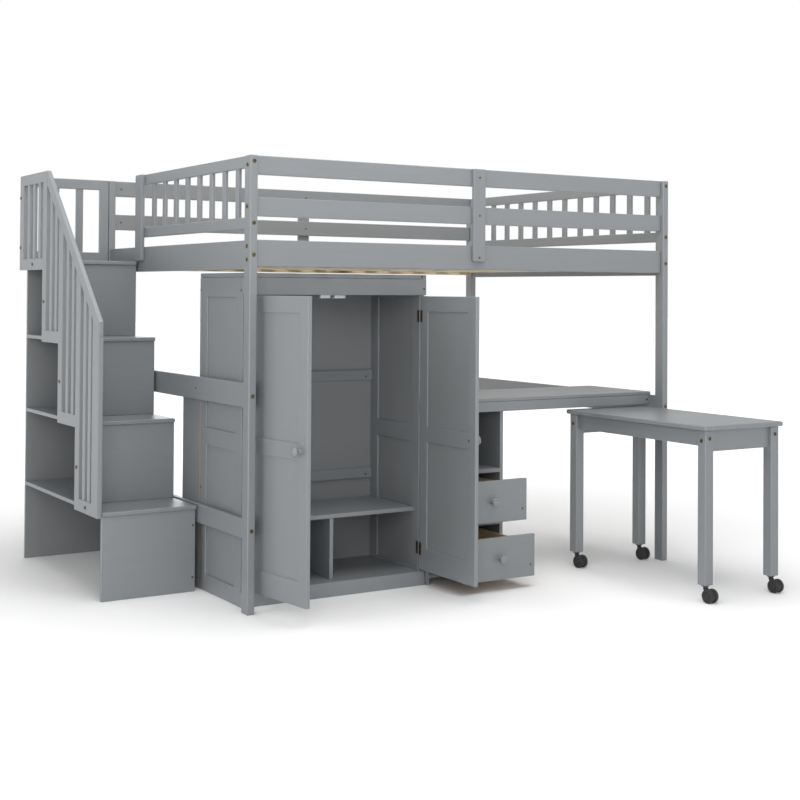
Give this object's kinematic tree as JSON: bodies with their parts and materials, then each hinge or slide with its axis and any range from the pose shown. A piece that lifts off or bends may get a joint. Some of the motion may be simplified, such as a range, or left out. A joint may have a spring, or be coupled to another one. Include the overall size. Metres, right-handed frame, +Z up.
{
  "type": "loft bed with desk",
  "caption": "Full-size painted loft bed with storage stair, wardrobe, built-in desk with drawers, low bookcase and a rolling table beneath.",
  "frame": {"origin": "middle of the front left post's foot, on the floor", "axes": "+X along the bed from its stair end to its desk end, +Y from the open front to the back, +Z up"},
  "size_m": [2.394, 2.2146, 1.64],
  "materials": {
    "grey_paint": "satin grey paint over wood",
    "bare_pine": "unfinished pine",
    "rod_steel": "bright plated tube",
    "black_plastic": "black moulded plastic"
  },
  "bodies": {
    "bed_frame": {"post_front_left": "grey_paint", "post_front_right": "grey_paint", "post_back_left": "grey_paint", "post_back_right": "grey_paint", "front_top_rail": "grey_paint", "front_mid_rail": "grey_paint", "front_side_rail": "grey_paint", "front_stile": "grey_paint", "back_top_rail": "grey_paint", "back_mid_rail": "grey_paint", "back_side_rail": "grey_paint", "back_stile": "grey_paint", "left_guard": "grey_paint", "right_guard": "grey_paint", "left_end_rail": "grey_paint", "right_end_rail": "grey_paint", "left_upper_stretcher": "grey_paint", "left_lower_stretcher": "grey_paint", "right_stretcher": "grey_paint", "slat_deck": "bare_pine", "wardrobe_left_side": "grey_paint", "wardrobe_right_side": "grey_paint", "wardrobe_top": "grey_paint", "wardrobe_header": "grey_paint", "wardrobe_back": "grey_paint", "wardrobe_floor": "grey_paint", "wardrobe_shelf": "grey_paint", "wardrobe_divider": "grey_paint", "wardrobe_rod": "rod_steel", "rear_bookcase": "grey_paint", "stair_tread_1": "grey_paint", "stair_tread_2": "grey_paint", "stair_tread_3": "grey_paint", "stair_landing": "grey_paint", "stair_riser_1": "grey_paint", "stair_riser_2": "grey_paint", "stair_riser_3": "grey_paint", "stair_riser_4": "grey_paint", "stair_right_side": "grey_paint", "stair_back_panel": "grey_paint", "stair_guard": "grey_paint", "stair_handrail": "grey_paint", "stair_back_guard": "grey_paint", "desktop": "grey_paint", "desk_apron": "grey_paint", "drawer_unit": "grey_paint"},
    "left_door": {"left_door": "grey_paint"},
    "right_door": {"right_door": "grey_paint"},
    "upper_drawer": {"upper_drawer": "grey_paint"},
    "lower_drawer": {"lower_drawer": "grey_paint"},
    "rolling_table": {"table_top": "grey_paint", "table_base": "grey_paint"},
    "caster_swivel_front_left": {"caster_fork_front_left": "black_plastic"},
    "caster_wheel_front_left": {"caster_wheels_front_left": "black_plastic"},
    "caster_swivel_front_right": {"caster_fork_front_right": "black_plastic"},
    "caster_wheel_front_right": {"caster_wheels_front_right": "black_plastic"},
    "caster_swivel_back_left": {"caster_fork_back_left": "black_plastic"},
    "caster_wheel_back_left": {"caster_wheels_back_left": "black_plastic"},
    "caster_swivel_back_right": {"caster_fork_back_right": "black_plastic"},
    "caster_wheel_back_right": {"caster_wheels_back_right": "black_plastic"}
  },
  "joints": [
    {"name": "left_door_hinge", "type": "hinge", "parent": "bed_frame", "child": "left_door", "pos_m": [0.03, 0.085, 0.6], "axis": [0, 0, 1], "range_deg": [-7.5, 82.5]},
    {"name": "right_door_hinge", "type": "hinge", "parent": "bed_frame", "child": "right_door", "pos_m": [0.795, 0.085, 0.6], "axis": [0, 0, 1], "range_deg": [-90, 0]},
    {"name": "upper_drawer_slide", "type": "slide", "parent": "bed_frame", "child": "upper_drawer", "axis": [0, -1, 0], "range_m": [-0.1845, 0.095]},
    {"name": "lower_drawer_slide", "type": "slide", "parent": "bed_frame", "child": "lower_drawer", "axis": [0, -1, 0], "range_m": [-0.2375, 0.042]},
    {"name": "table_slide", "type": "slide", "parent": "bed_frame", "child": "rolling_table", "axis": [0, 1, 0], "range_m": [-1, 0.4]},
    {"name": "caster_swivel_front_left", "type": "hinge", "parent": "rolling_table", "child": "caster_swivel_front_left", "pos_m": [1.557, -0.6885, 0.06], "axis": [0, 0, 1], "continuous": true},
    {"name": "caster_roll_front_left", "type": "hinge", "parent": "caster_swivel_front_left", "child": "caster_wheel_front_left", "pos_m": [1.55867, -0.71244, 0.026], "axis": [0.9976, 0.0698, 0], "continuous": true},
    {"name": "caster_swivel_front_right", "type": "hinge", "parent": "rolling_table", "child": "caster_swivel_front_right", "pos_m": [1.904, -0.6885, 0.06], "axis": [0, 0, 1], "continuous": true},
    {"name": "caster_roll_front_right", "type": "hinge", "parent": "caster_swivel_front_right", "child": "caster_wheel_front_right", "pos_m": [1.90567, -0.71244, 0.026], "axis": [0.9976, 0.0698, 0], "continuous": true},
    {"name": "caster_swivel_back_left", "type": "hinge", "parent": "rolling_table", "child": "caster_swivel_back_left", "pos_m": [1.557, 0.0665, 0.06], "axis": [0, 0, 1], "continuous": true},
    {"name": "caster_roll_back_left", "type": "hinge", "parent": "caster_swivel_back_left", "child": "caster_wheel_back_left", "pos_m": [1.55867, 0.04256, 0.026], "axis": [0.9976, 0.0698, 0], "continuous": true},
    {"name": "caster_swivel_back_right", "type": "hinge", "parent": "rolling_table", "child": "caster_swivel_back_right", "pos_m": [1.904, 0.0665, 0.06], "axis": [0, 0, 1], "continuous": true},
    {"name": "caster_roll_back_right", "type": "hinge", "parent": "caster_swivel_back_right", "child": "caster_wheel_back_right", "pos_m": [1.90567, 0.04256, 0.026], "axis": [0.9976, 0.0698, 0], "continuous": true}
  ]
}
